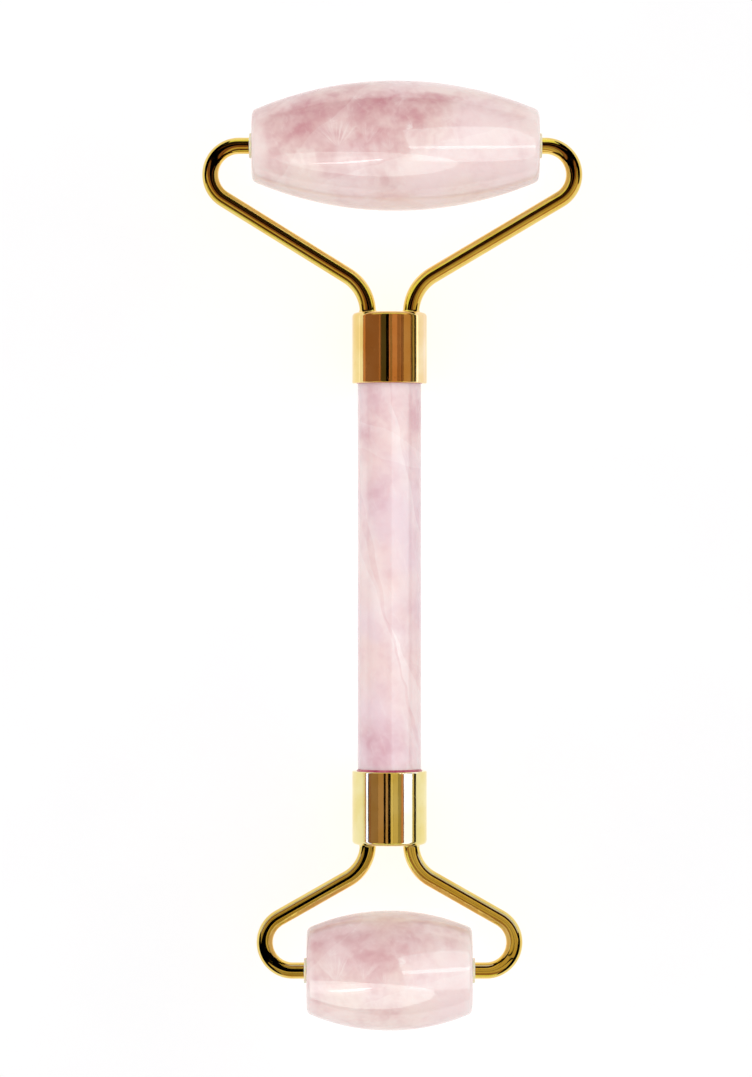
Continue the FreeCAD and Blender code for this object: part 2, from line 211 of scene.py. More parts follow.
def hand_ground(depth, wave, seed, least_radius):
    """Return a shape for lathe: the shallow unevenness that grinding by hand leaves on a stone's skin."""
    shift = Vector((seed, 1.7 * seed, 2.3 * seed))

    def shape(point, outward, radius):
        if radius < least_radius:
            return 0.0
        broad = noise.noise(point / wave + shift)
        fine = noise.noise(point * FINER / wave - shift)
        return -depth * (0.5 + BROAD_SHARE * broad + FINE_SHARE * fine)

    return shape


# ---------------------------------------------------------------- stones

def make_handle():
    """Make the stone rod: round, with small bevels and a hand-ground skin."""
    half = (HANDLE_HIGH.y - HANDLE_LOW.y) / 2
    skin = HANDLE_RADIUS
    outline = [(-half, 0.0), (-half, skin - HANDLE_BEVEL), (-half + HANDLE_BEVEL, skin)]
    outline += straight((-half + HANDLE_BEVEL, skin), (half - HANDLE_BEVEL, skin), HANDLE_STEPS)
    outline += [(half, skin - HANDLE_BEVEL), (half, 0.0)]
    shape = hand_ground(*HANDLE_GRINDING, skin * 0.99)
    piece = lathe("stone_handle", outline, HANDLE_AXIS, (0, 1, 0), STONE_SEGMENTS, shape)
    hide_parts("handle_rod")
    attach(piece, "frame")
    return piece


def barrel_outline(size):
    """Return half the section of a roller: bore, end face, rounded edge and crowned side, and back."""
    low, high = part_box(f"{size}_roller")
    half = (high.x - low.x) / 2
    radius = (high.z - low.z) / 2
    crown = CROWN[size]
    inside = crown - ROLLER_EDGE
    edge_x = half - ROLLER_EDGE
    tilt = math.asin(edge_x / inside)
    edge_y = radius - crown + inside * math.cos(tilt)
    tilt_degrees = tilt / DEGREE
    bore = [(half - BORE_DEPTH, 0.0), (half - BORE_DEPTH, BORE_RADIUS)]
    bore += straight((half - BORE_DEPTH, BORE_RADIUS), (half, BORE_RADIUS), BORE_STEPS)
    face = straight((half, BORE_RADIUS), (half, edge_y), FACE_STEPS)
    edge = arc((edge_x, edge_y), ROLLER_EDGE, 0, 90 - tilt_degrees, EDGE_STEPS)[1:]
    side = arc((0, radius - crown), crown, 90 - tilt_degrees, 90 + tilt_degrees, CROWN_STEPS)[1:-1]
    right = bore + face + edge
    left = [(-along, height) for along, height in reversed(right)]
    return right + side + left


def make_roller(size):
    """Make a stone roller: a crowned barrel with a blind bore at each end."""
    axis = ROLLER_AXIS[size]
    shape = hand_ground(*ROLLER_GRINDING[size], BORE_RADIUS * 1.5)
    piece = lathe(f"stone_{size}_roller", barrel_outline(size), axis, (1, 0, 0), STONE_SEGMENTS, shape)
    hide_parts(f"{size}_roller")
    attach(piece, f"{size}_roller")
    return piece


# ---------------------------------------------------------------- metal

def arm_centre_line(end, side):
    """Return an arm's centre line and the two ends of its straight run.

    Points are in the plane of the fork: outwards from the handle, then along it from the ferrule's end.
    """
    low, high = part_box(f"{end}_{side}_arm")
    reach = HANDLE_AXIS.x - low.x if side == "left" else high.x - HANDLE_AXIS.x
    roller_low, roller_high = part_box(f"{ROLLER_OF_END[end]}_roller")
    roller_face = HANDLE_AXIS.x - roller_low.x if side == "left" else roller_high.x - HANDLE_AXIS.x
    depth = abs(ROLLER_AXIS[ROLLER_OF_END[end]].y - ferrule_face_y(end))
    reach -= WIRE_RADIUS
    inner, outer = INNER_BEND[end], OUTER_BEND[end]
    across = reach - outer - ARM_OFFSET - inner
    along = depth - outer
    slope = math.acos((inner + outer) / math.hypot(across, along)) - math.atan2(across, along)
    slope_degrees = slope / DEGREE
    inner_arc = arc((ARM_OFFSET + inner, 0), inner, 180, 90 + slope_degrees, INNER_BEND_STEPS)
    outer_arc = arc((reach - outer, depth - outer), outer, slope_degrees - 90, 90, OUTER_BEND_STEPS)
    line = [(ARM_OFFSET, -END_WALL)]
    line += straight((ARM_OFFSET, -END_WALL), inner_arc[0], ROOT_STEPS)
    line += inner_arc[1:]
    line += straight(inner_arc[-1], outer_arc[0], RUN_STEPS)
    line += outer_arc[1:]
    line += straight(outer_arc[-1], (roller_face - PIN_INSERT + PIN_BEVEL, depth), PIN_STEPS)
    line.append((roller_face - PIN_INSERT, depth))
    return line, (inner_arc[-1], outer_arc[0])


def arm_place(end, side, x, y):
    """Return the place of a point in the plane of an arm's fork."""
    return Vector((HANDLE_AXIS.x + SIDES[side] * x, ferrule_face_y(end) + ALONG[end] * y, HANDLE_AXIS.z))


def make_arm(end, side):
    """Make one fork arm: round wire along its centre line, with a bevelled pin at its tip."""
    line, _ = arm_centre_line(end, side)
    points = [arm_place(end, side, x, y) for x, y in line]
    up = Vector((0, 0, 1))
    mesh_builder = bmesh.new()
    rings = []
    last = len(points) - 1
    for index, point in enumerate(points):
        forward = (points[min(index + 1, last)] - points[max(index - 1, 0)]).normalized()
        sideways = forward.cross(up)
        radius = WIRE_RADIUS - PIN_BEVEL if index == last else WIRE_RADIUS
        ring = []
        for corner in range(WIRE_SIDES):
            turn = 2 * math.pi * corner / WIRE_SIDES
            offset = sideways * math.cos(turn) + up * math.sin(turn)
            ring.append(mesh_builder.verts.new(point + offset * radius))
        rings.append(ring)
    for ring, next_ring in zip(rings, rings[1:]):
        bridge(mesh_builder, ring, next_ring)
    mesh_builder.faces.new(rings[0])
    mesh_builder.faces.new(rings[-1])
    piece = finished(f"wire_{end}_{side}_arm", mesh_builder)
    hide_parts(f"{end}_{side}_arm")
    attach(piece, "frame")
    return piece


def make_braze(end, side):
    """Make the brazed bead where an arm leaves its ferrule: a concave collar with an uneven foot."""
    rim = WIRE_RADIUS + BRAZE_CREST
    collar = arc((BRAZE_FILLET, rim + BRAZE_FILLET), BRAZE_FILLET, -90, -180, FILLET_STEPS)
    outline = [(0.0, WIRE_RADIUS), (BRAZE_FILLET, WIRE_RADIUS)] + collar
    shift = Vector((BRAZE_SEED[side] + ALONG[end], 0, 0))

    def uneven(point, outward, radius):
        swell = (radius - WIRE_RADIUS) / (BRAZE_FILLET + BRAZE_CREST)
        return -BRAZE_DIP * max(swell, 0) * (0.5 + 0.5 * noise.noise(outward * BRAZE_WAVE + shift))

    origin = arm_place(end, side, ARM_OFFSET, 0)
    piece = lathe(f"bead_{end}_{side}_braze", outline, origin, (0, ALONG[end], 0), SMALL_SEGMENTS, uneven,
                  closed=True)
    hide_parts(f"{end}_{side}_braze")
    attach(piece, "frame")
    return piece


# ---------------------------------------------------------------- bushes and adhesive

def make_bush(size, side):
    """Make a flanged bush: a thin sleeve inside the roller and a flange with rounded rims outside it."""
    low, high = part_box(f"{size}_{side}_bush")
    length = high.x - low.x
    flange_radius = (high.z - low.z) / 2
    soft = FLANGE_ROUNDING
    outline = [(-length, BUSH_BORE), (-length, BUSH_RADIUS), (-FLANGE_THICKNESS, BUSH_RADIUS)]
    outline += [(-FLANGE_THICKNESS, flange_radius - soft)]
    outline += arc((-FLANGE_THICKNESS + soft, flange_radius - soft), soft, 180, 90, ROUNDING_STEPS)
    outline += arc((-soft, flange_radius - soft), soft, 90, 0, ROUNDING_STEPS)
    outline += arc((-soft, BUSH_BORE + soft), soft, 0, -90, ROUNDING_STEPS)
    origin = Vector((high.x if side == "right" else low.x, ROLLER_AXIS[size].y, ROLLER_AXIS[size].z))
    piece = lathe(f"sleeve_{size}_{side}_bush", outline, origin, (SIDES[side], 0, 0), SMALL_SEGMENTS,
                  closed=True)
    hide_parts(f"{size}_{side}_bush")
    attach(piece, f"{size}_roller")
    return piece


def make_handle_adhesive(end):
    """Make the adhesive round one end of the rod, with a bead of it squeezed out of the mouth."""
    low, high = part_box(f"{end}_adhesive")
    bore = (high.x - low.x) / 2
    length = high.y - low.y
    bead = GLUE_BEAD[end]
    rounding = bead * BEAD_ROUNDING
    outline = [(0.0, 0.0), (0.0, bore), (length, bore)]
    outline += arc((length, bore - rounding), rounding, 90, 0, ROUNDING_STEPS)[1:]
    outline += [(length + bead, HANDLE_RADIUS), (length, HANDLE_RADIUS), (GLUE_POOL, HANDLE_RADIUS),
                (GLUE_POOL, 0.0)]
    base = low.y if end == "lower" else high.y
    origin = Vector((HANDLE_AXIS.x, base, HANDLE_AXIS.z))
    piece = lathe(f"resin_{end}_adhesive", outline, origin, (0, -ALONG[end], 0), SMALL_SEGMENTS)
    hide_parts(f"{end}_adhesive")
    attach(piece, "frame")
    return piece


# ---------------------------------------------------------------- materials

QUARTZ_IOR = 1.54
NYLON_IOR = 1.53
RESIN_IOR = 1.5
QUARTZ_DEPTH = 1.6 * MM
NYLON_DEPTH = 0.5 * MM
MOST_VEIL_AND_GLOW = 0.9
FEATHER_STROKES = 15.0
VEIL_EDGE = 0.14 * MM

# How far apart the features of a roller's stone lie (across and along) and how deep its pink patches are,
# both beside the large roller's. Then the seeds of all three stones.
STONE_STRETCH = {"large": (1.0, 1.0), "small": (1.6, 1.15)}
STONE_DEPTH = {"large": 1.0, "small": 0.66}
STONE_SEED = {"handle": 11, "large": 3, "small": 5}

# The rich and the light tone of each plating.
PLATING = {
    "warm_gold": ((238, 206, 124), (244, 221, 150)),
    "yellow_gold": ((237, 220, 142), (243, 231, 170)),
    "wire_gold": ((232, 198, 96), (240, 214, 122)),
}


class Recipe:
    """The node tree of one material, built with short calls."""

    def __init__(self, name):
        self.material = bpy.data.materials.new(name)
        self.material.use_nodes = True
        self.tree = self.material.node_tree
        self.shader = self.tree.nodes["Principled BSDF"]
        self.place = self.node("TexCoord").outputs["Object"]

    def feed(self, socket, given):
        """Link a socket, or set its own value."""
        if isinstance(given, bpy.types.NodeSocket):
            self.tree.links.new(given, socket)
        else:
            socket.default_value = given

    def node(self, kind, settings=None, **inputs):
        """Add a node; a space in an input's name is written as an underscore."""
        made = self.tree.nodes.new("ShaderNode" + kind)
        for name, setting in (settings or {}).items():
            setattr(made, name, setting)
        for name, given in inputs.items():
            self.feed(made.inputs[name.replace("_", " ")], given)
        return made

    def math(self, operation, *terms):
        """Combine numbers."""
        made = self.node("Math", {"operation": operation})
        for socket, term in zip(made.inputs, terms):
            self.feed(socket, term)
        return made.outputs[0]

    def vector_math(self, operation, *terms):
        """Combine vectors."""
        made = self.node("VectorMath", {"operation": operation})
        for socket, term in zip(made.inputs, terms):
            self.feed(socket, term)
        return made.outputs["Value" if operation in ("LENGTH", "DOT_PRODUCT") else "Vector"]

    def ramp(self, given, start, stop, low=0.0, high=1.0):
        """Carry the range start..stop smoothly over to low..high."""
        made = self.node("MapRange", {"interpolation_type": "SMOOTHSTEP"}, Value=given, From_Min=start,
                         From_Max=stop, To_Min=low, To_Max=high)
        return made.outputs["Result"]

    def noise(self, place, size, detail=2.0, roughness=0.5):
        """Return noise whose lumps are about size across, in metres."""
        made = self.node("TexNoise", Vector=place, Scale=1 / size, Detail=detail, Roughness=roughness)
        return made.outputs["Fac"]

    def moved(self, place, shift=(0, 0, 0), turn=(0, 0, 0), stretch=(1, 1, 1)):
        """Move, turn (in degrees) and stretch the coordinates of a pattern."""
        made = self.node("Mapping", {"vector_type": "TEXTURE"}, Vector=place, Location=shift,
                         Rotation=[angle * DEGREE for angle in turn], Scale=stretch)
        return made.outputs["Vector"]

    def warped(self, place, size, amount):
        """Drag the coordinates of a pattern about by up to amount, in swirls about size across."""
        swirl = self.node("TexNoise", Vector=place, Scale=1 / size, Detail=2.0).outputs["Color"]
        centred = self.vector_math("SUBTRACT", swirl, (0.5, 0.5, 0.5))
        push = self.node("VectorMath", {"operation": "SCALE"}, Vector=centred, Scale=2 * amount)
        return self.vector_math("ADD", place, push.outputs["Vector"])

    def blend(self, amount, first, second):
        """Mix two colours."""
        made = self.node("Mix", {"data_type": "RGBA"})
        self.feed(made.inputs["Factor"], amount)
        self.feed(made.inputs[6], first)
        self.feed(made.inputs[7], second)
        return made.outputs[2]

    def bump(self, height, distance, normal=None):
        """Return a normal for a height map whose full range is distance high."""
        made = self.node("Bump", Height=height, Distance=distance, Strength=1.0)
        if normal:
            self.feed(made.inputs["Normal"], normal)
        return made.outputs["Normal"]

    def finish(self, **inputs):
        """Set the shader's inputs and return the material."""
        for name, given in inputs.items():
            self.feed(self.shader.inputs[name.replace("_", " ")], given)
        return self.material


def colour(red, green, blue):
    """Return the linear colour of an sRGB colour given in 0..255."""
    channels = []
    for level in (red, green, blue):
        share = level / 255
        channels.append(share / 12.92 if share <= 0.04045 else ((share + 0.055) / 1.055) ** 2.4)
    return (*channels, 1.0)


def add_all(recipe, parts):
    """Add up a list of numbers from nodes."""
    total = parts[0]
    for part in parts[1:]:
        total = recipe.math("ADD", total, part)
    return total


def patch(recipe, place, centre, radii, strength):
    """Return a soft ellipsoid, strongest at its centre."""
    inside = recipe.vector_math("LENGTH", recipe.moved(place, shift=centre, stretch=radii))
    return recipe.ramp(inside, 0.2, 1.25, strength, 0.0)


def sheet_of_veil(recipe, place, facing, through, fade, strength):
    """Return a healed crack: a crisp edge on one side, fading away within the stone on the other."""
    facing = Vector(facing).normalized()
    beyond = recipe.vector_math("DOT_PRODUCT", place, tuple(facing))
    beyond = recipe.math("SUBTRACT", beyond, facing.dot(Vector(through)))
    edge = recipe.ramp(beyond, 0.0, VEIL_EDGE)
    fading = recipe.ramp(beyond, 0.0, fade, strength, 0.0)
    return recipe.math("MULTIPLY", edge, fading)


def feather(recipe, place, root, reach, facing, spread, strength):
    """Return fine strokes that spread from a root like a feather, about facing (in degrees from X)."""
    local = recipe.vector_math("SUBTRACT", place, root)
    parts = recipe.node("SeparateXYZ", Vector=local).outputs
    distance = recipe.vector_math("LENGTH", local)
    angle = recipe.math("ARCTAN2", parts["Y"], parts["X"])
    fanned = recipe.node("CombineXYZ", X=recipe.math("MULTIPLY", angle, FEATHER_STROKES),
                         Y=recipe.math("DIVIDE", distance, reach), Z=root[0] / MM)
    strokes = recipe.node("TexNoise", Vector=fanned.outputs["Vector"], Scale=1.0, Detail=3.0, Roughness=0.6)
    strokes = recipe.ramp(strokes.outputs["Fac"], 0.42, 0.72, 0.2, 1.0)
    inside = recipe.ramp(distance, 0.3 * reach, reach, strength, 0.0)
    towards = (math.cos(facing * DEGREE), math.sin(facing * DEGREE), 0.0)
    aligned = recipe.math("DIVIDE", recipe.vector_math("DOT_PRODUCT", local, towards), distance)
    sector = recipe.ramp(aligned, math.cos(spread * DEGREE), math.cos(0.4 * spread * DEGREE))
    return recipe.math("MULTIPLY", recipe.math("MULTIPLY", strokes, inside), sector)


def stone_material(name, seed, tones, patches, veils, feathers, painted_glow=None):
    """Return polished rose quartz: pink clouds, deeper patches, healed cracks, fibres and feathers, and any
    painted glow that is given.
    """
    recipe = Recipe(name)
    drift = recipe.warped(recipe.warped(recipe.place, 7 * MM, 1.5 * MM), 1.6 * MM, 0.24 * MM)
    seeded = recipe.moved(drift, shift=(seed * MM, -2 * seed * MM, 3 * seed * MM))
    hairy = recipe.warped(recipe.place, 0.9 * MM, 0.16 * MM)

    hue = recipe.ramp(recipe.noise(seeded, 11 * MM, 2.0), 0.35, 0.65)
    pale = recipe.blend(hue, tones["lilac"], tones["peach"])
    clouds = recipe.ramp(recipe.noise(seeded, 6 * MM, 3.0, 0.5), 0.38, 0.68, -0.02, 0.26)
    mottle = recipe.ramp(recipe.noise(seeded, 1.5 * MM, 3.0, 0.55), 0.3, 0.72, -0.06, 0.07)
    placed = [patch(recipe, drift, *one) for one in patches]
    depth = add_all(recipe, [clouds, mottle] + placed)
    tint = recipe.blend(recipe.ramp(depth, -0.1, 1.1), pale, tones["deep"])

    slanted = recipe.moved(seeded, turn=(10, 20, 24), stretch=(1, 9, 1))
    fibres = recipe.ramp(recipe.noise(slanted, 0.7 * MM, 4.0, 0.6), 0.5, 0.8, 0.0, 0.2)
    milk = recipe.ramp(recipe.noise(seeded, 3.5 * MM, 4.0, 0.55), 0.5, 0.78, 0.0, 0.2)
    cracked = recipe.warped(recipe.place, 7 * MM, 1.1 * MM)
    whites = [fibres, milk]
    whites += [sheet_of_veil(recipe, cracked, *one) for one in veils]
    whites += [feather(recipe, hairy, *one) for one in feathers]
    # Painted light: a given painted glow, such as the pale ends of a roller, joins the whites.
    if painted_glow:
        whites.append(painted_glow(recipe))
    # Veils, fibres and feathers whiten the tint, and on the rollers so does the painted light at the ends.
    veil_and_painted_glow = recipe.math("MINIMUM", add_all(recipe, whites), MOST_VEIL_AND_GLOW)
    tint = recipe.blend(veil_and_painted_glow, tint, tones["veil_and_painted_glow"])

    smears = recipe.noise(recipe.moved(recipe.place, stretch=(1, 3, 1)), 6 * MM, 3.0)
    pits = recipe.ramp(recipe.noise(recipe.place, 0.35 * MM, 2.0), 0.72, 0.8)
    roughness = recipe.math("ADD", recipe.ramp(smears, 0.3, 0.7, 0.015, 0.05),
                            recipe.math("MULTIPLY", pits, 0.15))
    skin = recipe.bump(recipe.noise(recipe.place, 1.6 * MM, 2.0), 0.0012 * MM)
    skin = recipe.bump(recipe.math("MULTIPLY", pits, -1.0), 0.004 * MM, skin)
    return recipe.finish(Base_Color=tint, Roughness=roughness, Normal=skin, IOR=QUARTZ_IOR,
                         Subsurface_Weight=0.3, Subsurface_Radius=(1.0, 0.72, 0.7),
                         Subsurface_Scale=QUARTZ_DEPTH)


def handle_stone():
    """Return the stone of the rod, pale with a few pinker places and long slanting veils."""
    x, z = HANDLE_AXIS.x, HANDLE_HIGH.z
    tones = {"lilac": colour(235, 211, 217), "peach": colour(241, 216, 213), "deep": colour(212, 160, 172),
             "veil_and_painted_glow": colour(250, 238, 236)}
    patches = [
        ((x + 4.2 * MM, 21.5 * MM, z - 2 * MM), (2.2 * MM, 4 * MM, 4 * MM), 0.42),
        ((x - 3.8 * MM, 19 * MM, z), (2.5 * MM, 3 * MM, 4 * MM), 0.35),
        ((x - 2.0 * MM, 21 * MM, z), (4 * MM, 8 * MM, 4 * MM), 0.22),
        ((x - 1.8 * MM, 10 * MM, z), (3 * MM, 4.5 * MM, 4 * MM), 0.35),
        ((x + 4.5 * MM, 3 * MM, z - 2 * MM), (2 * MM, 5 * MM, 4 * MM), 0.4),
        ((x + 0.5 * MM, -13 * MM, z), (2.5 * MM, 5 * MM, 3 * MM), 0.25),
        ((x - 2.0 * MM, -29 * MM, z), (4.5 * MM, 6 * MM, 4 * MM), 0.5),
    ]
    veils = [
        ((-0.97, -0.22, 0.1), (x + 1.6 * MM, 18 * MM, z), 2.2 * MM, 0.34),
        ((-0.92, -0.38, -0.1), (x - 2.0 * MM, -5 * MM, z), 3.0 * MM, 0.26),
        ((0.97, 0.22, 0.1), (x + 2.3 * MM, -20 * MM, z), 2.0 * MM, 0.32),
        ((0.3, 0.95, 0.1), (x, 14.5 * MM, z), 2.5 * MM, 0.2),
        ((-0.45, -0.89, 0.1), (x - 2.5 * MM, 20 * MM, z), 2.5 * MM, 0.22),
        ((-0.97, -0.24, 0.1), (x + 1.2 * MM, -16 * MM, z), 2.4 * MM, 0.26),
    ]
    feathers = [
        ((x - 1.5 * MM, 6 * MM, z), 4.0 * MM, 120, 50, 0.3),
        ((x + 1.5 * MM, -16 * MM, z), 5.0 * MM, 80, 35, 0.3),
        ((x - 2.5 * MM, -22 * MM, z), 4.0 * MM, -70, 40, 0.25),
    ]
    return stone_material("rose_quartz_handle", STONE_SEED["handle"], tones, patches, veils, feathers)


def roller_stone(size):
    """Return the stone of a roller, deeper pink at its upper left and milky at its lower right, with painted
    light: a pale glow painted at both ends.
    """
    stretch = STONE_STRETCH[size]
    low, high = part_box(f"{size}_roller")
    axis = ROLLER_AXIS[size]
    half = (high.x - low.x) / 2
    radius = (high.z - low.z) / 2

    def at(across, along):
        """Return a place on the upper skin, in shares of the half length and the radius."""
        across *= stretch[0]
        along *= stretch[1]
        height = math.sqrt(max(1 - along * along, 0)) - 0.15 * across * across
        return (axis.x + across * half, axis.y + along * radius, axis.z + height * radius)

    def spread(across, along):
        """Return the radii of a patch, in the same shares."""
        return (across * stretch[0] * half, along * stretch[1] * radius, 2.5 * along * radius)

    def painted_end_glow(recipe):
        """Return painted light: paler bands painted at both ends, standing in for the light that shines
        through the thin edge.
        """
        wavy = recipe.warped(recipe.place, 4 * MM, 0.8 * MM)
        along_axis = recipe.node("SeparateXYZ", Vector=wavy).outputs["X"]
        off_centre = recipe.math("ABSOLUTE", recipe.math("SUBTRACT", along_axis, axis.x))
        return recipe.ramp(off_centre, half * 0.87, half * 0.96, 0.0, 0.34)

    tones = {"lilac": colour(240, 217, 216), "peach": colour(241, 220, 213), "deep": colour(201, 140, 147),
             "veil_and_painted_glow": colour(248, 236, 232)}
    patches = [
        (at(-0.38, 0.32), spread(0.85, 0.80), 0.46),
        (at(-0.49, 0.58), spread(0.15, 0.30), 0.20),
        (at(-0.62, 0.40), spread(0.18, 0.40), 0.16),
        (at(-0.60, 0.08), spread(0.16, 0.26), 0.16),
        (at(-0.24, 0.64), spread(0.18, 0.18), 0.26),
        (at(-0.02, 0.62), spread(0.18, 0.26), 0.22),
        (at(-0.19, 0.46), spread(0.18, 0.30), 0.14),
        (at(0.13, 0.38), spread(0.18, 0.26), 0.26),
        (at(0.25, 0.66), spread(0.22, 0.14), 0.32),
        (at(-0.86, 0.36), spread(0.12, 0.32), 0.16),
        (at(-0.09, -0.57), spread(0.24, 0.16), 0.24),
        (at(0.10, -0.80), spread(0.60, 0.10), 0.10),
        (at(0.60, -0.50), spread(0.50, 0.40), -0.20),
        (at(0.10, -0.95), spread(0.70, 0.20), -0.14),
    ]
    patches = [(place, radii, strength * STONE_DEPTH[size]) for place, radii, strength in patches]
    veils = [
        ((0.72, -0.69, 0.05), at(-0.52, 0.22), 4.5 * MM, 0.16),
        ((0.30, -0.95, 0.10), at(-0.35, -0.50), 4.0 * MM, 0.2),
    ]
    feathers = [
        (at(-0.40, -0.10), 5.6 * MM, 95, 80, 0.55),
        (at(-0.20, -0.06), 4.2 * MM, 75, 50, 0.45),
        (at(-0.48, 0.24), 2.6 * MM, 55, 60, 0.65),
        (at(0.05, 0.66), 3.4 * MM, -105, 55, 0.4),
        (at(0.12, 0.19), 1.5 * MM, 160, 80, 1.1),
        (at(-0.80, 0.56), 4.4 * MM, -58, 40, 0.4),
        (at(-0.70, -0.53), 2.6 * MM, 25, 50, 1.0),
        (at(-0.04, -0.16), 2.6 * MM, 100, 65, 0.45),
        (at(-0.34, 0.74), 3.0 * MM, -40, 45, 0.4),
        (at(0.45, 0.45), 4.0 * MM, 200, 50, 0.3),
    ]
    # The last argument paints light: a pale glow painted at both ends of the roller.
    return stone_material(f"rose_quartz_{size}_roller", STONE_SEED[size], tones, patches, veils, feathers,
                          painted_end_glow)


def gold_material(name):
    """Return polished plated metal, with drawing lines, faint scratches and an uneven polish."""
    rich, light = [colour(*tone) for tone in PLATING[name]]
    recipe = Recipe(name)
    tone = recipe.ramp(recipe.noise(recipe.place, 5 * MM, 3.0), 0.35, 0.7)
    tint = recipe.blend(tone, rich, light)
    grime = recipe.ramp(recipe.noise(recipe.place, 1.1 * MM, 4.0, 0.65), 0.62, 0.8, 0.0, 0.35)
    tint = recipe.blend(grime, tint, colour(150, 96, 38))
    drawn = recipe.moved(recipe.place, stretch=(1, 14, 1))
    lines = recipe.noise(drawn, 0.35 * MM, 3.0, 0.6)
    scuffs = recipe.ramp(recipe.noise(recipe.moved(recipe.place, turn=(0, 0, 35), stretch=(1, 9, 1)),
                                      0.3 * MM, 2.0), 0.66, 0.76)
    roughness = recipe.math("ADD", recipe.ramp(lines, 0.3, 0.7, 0.04, 0.1),
                            recipe.math("MULTIPLY", scuffs, 0.16))
    skin = recipe.bump(recipe.noise(recipe.place, 3.5 * MM, 1.0), 0.012 * MM)
    skin = recipe.bump(lines, 0.0006 * MM, skin)
    skin = recipe.bump(scuffs, -0.0008 * MM, skin)
    return recipe.finish(Base_Color=tint, Roughness=roughness, Normal=skin, Metallic=1.0)


def bush_material():
    """Return moulded cream nylon, slightly clouded, with moulding speckle and rubbed patches."""
    recipe = Recipe("cream_nylon")
    tone = recipe.ramp(recipe.noise(recipe.place, 0.8 * MM, 3.0), 0.3, 0.7)
    tint = recipe.blend(tone, colour(250, 232, 196), colour(254, 244, 222))
    rubbed = recipe.ramp(recipe.noise(recipe.place, 0.5 * MM, 4.0), 0.35, 0.7, 0.25, 0.45)
    skin = recipe.bump(recipe.noise(recipe.place, 0.12 * MM, 2.0), 0.002 * MM)
    return recipe.finish(Base_Color=tint, Roughness=rubbed, Normal=skin, IOR=NYLON_IOR,
                         Subsurface_Weight=0.4, Subsurface_Scale=NYLON_DEPTH)


def adhesive_material():
    """Return cured pink resin, with small bubbles and a wavy skin."""
    recipe = Recipe("pink_resin")
    tone = recipe.ramp(recipe.noise(recipe.place, 1.4 * MM, 3.0), 0.3, 0.7)
    tint = recipe.blend(tone, colour(176, 66, 96), colour(206, 108, 130))
    bubbles = recipe.node("TexVoronoi", Vector=recipe.place, Scale=1 / (0.35 * MM)).outputs["Distance"]
    speck = recipe.ramp(bubbles, 0.05, 0.3, 1.0, 0.0)
    tint = recipe.blend(recipe.math("MULTIPLY", speck, 0.3), tint, colour(228, 160, 172))
    gloss = recipe.ramp(recipe.noise(recipe.place, 0.6 * MM), 0.3, 0.7, 0.15, 0.35)
    skin = recipe.bump(recipe.noise(recipe.place, 0.5 * MM, 2.0), 0.01 * MM)
    return recipe.finish(Base_Color=tint, Roughness=gloss, Normal=skin, IOR=RESIN_IOR)


def floor_material():
    """Return a pale matt studio floor with a hardly visible mottle."""
    recipe = Recipe("pale_floor")
    tone = recipe.ramp(recipe.noise(recipe.place, 60 * MM, 3.0), 0.3, 0.7)
    tint = recipe.blend(tone, colour(247, 247, 248), colour(250, 250, 250))
    grain = recipe.bump(recipe.noise(recipe.place, 1.5 * MM, 2.0), 0.02 * MM)
    return recipe.finish(Base_Color=tint, Roughness=0.9, Normal=grain)


def dress(piece, material):
    """Give a piece, or each slot of a CAD node, its material."""
    if not piece.data.materials:
        piece.data.materials.append(material)
    for slot in piece.material_slots:
        slot.material = material


# ---------------------------------------------------------------- studio

FLOOR_REACH = 3.0
FLOOR_SQUARES = 24
FLOOR_GAP = 0.02 * MM
FLOOR_LAMP_STRENGTH = 1.95
ROOM_STRENGTH = 0.45
ROOM_TINT = (1.0, 0.99, 0.985, 1.0)
CEILING_HEIGHT = 1.0
CEILING_WIDTH = 4.0
CEILING_RADIANCE = 0.78

# Tints of the panels.
WHITE = (1.0, 1.0, 1.0)
COOL = (0.72, 1.0, 1.0)
CREAM = (0.74, 1.0, 0.93)
BRONZE = (1.0, 0.44, 0.23)
AMBER = (1.0, 0.55, 0.27)
STRAW = (1.0, 0.77, 0.34)
LEMON = (0.95, 1.0, 0.5)
PALE = (1.0, 0.95, 0.85)
SILVER = (0.4, 0.46, 1.0)
ICE = (0.08, 0.15, 1.0)

# The window that each stone mirrors. Its ends are each a lean of the skin across and a distance, "along" and
# "line" are the leans along between which the window and the bright line in it show, and "roll" turns it.
WINDOWS = {
    "handle": {"ends": ((3.65, 0.5), (36.9, 0.5)), "along": (-30, 30), "radiance": 1.7, "roll": 0},
    "large": {"ends": ((2.2, 0.5), (26.2, 0.36)), "along": (-16.6, 10.1), "line": (-6.4, -4.4),
              "radiance": 2.1, "roll": 6},
    "small": {"ends": ((3.6, 0.5), (34, 0.36)), "along": (-11, 19.5), "line": (3.2, 6.2),
              "radiance": 1.9, "roll": 6},
}
LINE_RADIANCE = 3.2

# The lens at the lower left of each roller, and the streak and the glow in it: the leans across and along
# that mirror the middle, the size, the roll and the radiance.
LENSES = {
    "large": {
        "lens": ((-6.3, -22.0), (0.76, 0.54), -11, 2.2),
        "streak": ((-9.6, -20.6), (0.27, 0.03), 22, 5.0),
        "glow": ((-11.5, -20.6), (0.40, 0.18), 22, 1.1),
    },
    "small": {
        "lens": ((-12.5, -21.5), (1.4, 0.86), -7, 2.8),
        "streak": ((-13.2, -15.7), (0.3, 0.05), 20, 5.0),
        "glow": ((-16, -16), (0.6, 0.24), 20, 1.1),
    },
}
LENS_TINT = {"lens": CREAM, "streak": WHITE, "glow": WHITE}

# Panels at one distance would hide each other, so the line hangs at this share of the window's distance, and
# the parts of the lens at these heights.
IN_FRONT = 0.94
LENS_HEIGHT = {"lens": 0.5, "streak": 0.44, "glow": 0.47}

